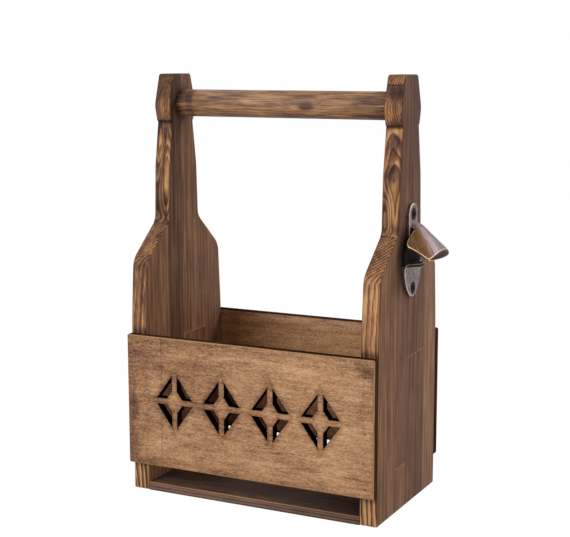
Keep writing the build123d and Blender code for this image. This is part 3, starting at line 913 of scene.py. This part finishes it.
for vert, amount in spread.items():
    start = vert.co + vert.normal * mm / 2
    facing = [ray for ray in rays if ray.dot(vert.normal) > 0.15]
    met = sum(
        1 for ray in facing
        if surface.ray_cast(start, ray, reach)[0] is not None or start.x + ray.x * reach < wallX)
    screwGap = min(hypot(vert.co.y, vert.co.z - screwZ - rise * mm) for rise in screwRises)
    nearScrew = screwGap < patinaWearAndShade["screwShade"] * mm
    up = (vert.co.z - screwZ) / mm
    offPlate = (vert.co.x - wallX) / mm - patinaWearAndShade["offPlate"]
    inPocket = opener["jawRise"] + 2 < up < patinaWearAndShade["pocketTop"] and offPlate < 0
    onJaw = abs(up - jawMiddle) < opener["jawThickness"] and offPlate > 0
    onNeck = abs(vert.co.y) < (opener["neckHalf"] + 2) * mm and up > patinaWearAndShade["neckFrom"] and offPlate > 0
    # painted shade: full in the countersinks and in the pocket under the hood; elsewhere patina and painted
    # shade by the share of rays met
    vert[patinaAndShadeLayer] = 1.0 if nearScrew or inPocket else met / len(facing)
    if onJaw and not nearScrew:
        vert[patinaAndShadeLayer] *= patinaWearAndShade["jawPatinaAndShade"]
    gain = patinaWearAndShade["rubGain"] * (patinaWearAndShade["neckRub"] if onNeck else patinaWearAndShade["jawRub"] if onJaw else 1.0)
    vert[rubLayer] = 0.0 if nearScrew else min(1.0, amount * gain)
bm.to_mesh(cast)
bm.free()
cast.shade_smooth()
addPiece("castOpener", cast, bronzeLook, "antique_bronze", "bottle_opener")
print("opener ready", len(cast.polygons), "faces")


# Domed countersunk screws with a cross recess
screw = {
    "headRadius": 4.9,
    "dome": 1.2,
    "slotHalf": 0.55,
    "slotReach": 2.6,
    "slotDepth": 1.3,
    "shankRadius": 2.0,
    "sink": 2.6,
    "shankLength": 2.0,
    "turned": 20,  # degrees
}

bm = bmesh.new()
for rise in screwRises:
    head = bmesh.ops.create_grid(bm, x_segments=36, y_segments=36, size=1.0)["verts"]
    radius = screw["headRadius"]
    for vert in head:
        a, b = vert.co.x, vert.co.y
        a, b = a * (1 - b * b / 2) ** 0.5 * radius, b * (1 - a * a / 2) ** 0.5 * radius
        height = screw["dome"] * (1 - (a * a + b * b) / radius ** 2)
        near, far = min(abs(a), abs(b)), max(abs(a), abs(b))
        if near < screw["slotHalf"] and far < screw["slotReach"]:
            height -= screw["slotDepth"] * (1 - far / screw["slotReach"]) ** 0.5
        vert.co = (a, b, height)
    rim = [e for e in bm.edges if e.is_boundary and e.verts[0] in head]
    for drop in (screw["sink"], screw["sink"] + screw["shankLength"]):
        grown = bmesh.ops.extrude_edge_only(bm, edges=rim)["geom"]
        rim = [part for part in grown if isinstance(part, bmesh.types.BMEdge)]
        for vert in onlyVerts(grown):
            outward = Vector((vert.co.x, vert.co.y, 0)).normalized()
            vert.co = outward * screw["shankRadius"] - Vector((0, 0, drop))
            head.append(vert)
    bmesh.ops.edgeloop_fill(bm, edges=rim)
    place = Matrix.Translation((wallX + opener["plateThickness"] * mm, 0, screwZ + rise * mm))
    turned = Matrix.Rotation(pi / 2, 4, "Y") @ Matrix.Rotation(radians(screw["turned"]), 4, "Z")
    bmesh.ops.transform(bm, verts=head, matrix=place @ turned @ Matrix.Scale(mm, 4))
mesh = finishMesh(bm, "openerScrews", 35)
addPiece("shown_opener_screws", mesh, screwLook, "black_screws", "opener_screws")
print("screws ready")


# 1 for rays straight from the camera, or by a mirror or glass
def seenDirectly(tree):
    seen = addNode(tree, "LightPath").outputs
    direct = addNode(tree, "Math", seen["Is Camera Ray"], seen["Is Glossy Ray"], operation="MAXIMUM")
    return addNode(tree, "Math", direct, seen["Is Transmission Ray"], operation="MAXIMUM")


studio = {
    "floor": "#E6E4E0",
    "floorSize": 12000.0,
    "floorShare": 0.85,    # how much of what is seen of the floor is its glow
    "floorGlow": 1.12,
    "skyStrength": 0.31,
    "lamps": {             # place, target, power, size, in metres and watts
        "key": ((-0.8, -1.6, 1.2), (0, 0, 0.15), 21.0, 0.9),
        "fill": ((1.5, -0.9, 0.8), (0, 0, 0.2), 1.6, 1.4),
        "rim": ((1.1, 0.9, 1.3), (0.1, 0, 0.25), 12.5, 0.5),
    },
}

# Pale floor that the camera sees nearly white, but that still takes the caddy's shadow
floorMaterial, tree, shader = startMaterial("paleFloor")
plugIn(tree, shader, {"Base Color": studio["floor"], "Roughness": 0.9})
share = addNode(tree, "Math", seenDirectly(tree), studio["floorShare"], operation="MULTIPLY")
glow = addNode(tree, "Emission", {"Color": "#FFFFFF", "Strength": studio["floorGlow"]})
mixed = addNode(tree, "MixShader", share, shader, glow)
plugIn(tree, tree.nodes["Material Output"], mixed)
bm = bmesh.new()
bmesh.ops.create_grid(bm, x_segments=1, y_segments=1, size=studio["floorSize"] / 2 * mm)
mesh = bpy.data.meshes.new("paleFloor")
bm.to_mesh(mesh)
bm.free()
mesh.materials.append(floorMaterial)
floor = addObject("paleFloor", mesh)

world = bpy.data.worlds.new("studio")
bpy.context.scene.world = world
world.use_nodes = True
tree = world.node_tree
tree.nodes.clear()
level = addNode(tree, "MapRange", seenDirectly(tree), 0.0, 1.0, studio["skyStrength"], 1.0)
sky = addNode(tree, "Background", {"Color": "#FFFFFF", "Strength": level})
addNode(tree, "OutputWorld", sky)

for name, (place, target, power, size) in studio["lamps"].items():
    data = bpy.data.lights.new(name, "AREA")
    data.energy = power
    data.size = size
    lamp = addObject(name, data)
    lamp.location = place
    lamp.rotation_euler = (Vector(target) - Vector(place)).to_track_quat("-Z", "Y").to_euler()

# Camera where the photograph was taken from; its roll is in degrees
view = {"lens": 82.41, "place": (540.3, -1075.8, 403.8), "target": (-0.35, 1.86, 209.83), "roll": -0.09}
cameraData = bpy.data.cameras.new("camera")
cameraData.lens = view["lens"]
cameraData.sensor_fit = "HORIZONTAL"
cameraData.sensor_width = 36.0
camera = addObject("camera", cameraData)
place, target = Vector(view["place"]) * mm, Vector(view["target"]) * mm
aimed = (target - place).to_track_quat("-Z", "Y").to_matrix()
rolled = aimed @ Matrix.Rotation(radians(view["roll"]), 3, "Z")
camera.matrix_world = Matrix.Translation(place) @ rolled.to_4x4()
bpy.context.scene.camera = camera
bpy.context.scene.view_settings.view_transform = "Standard"
print("stage, lamps and camera ready")
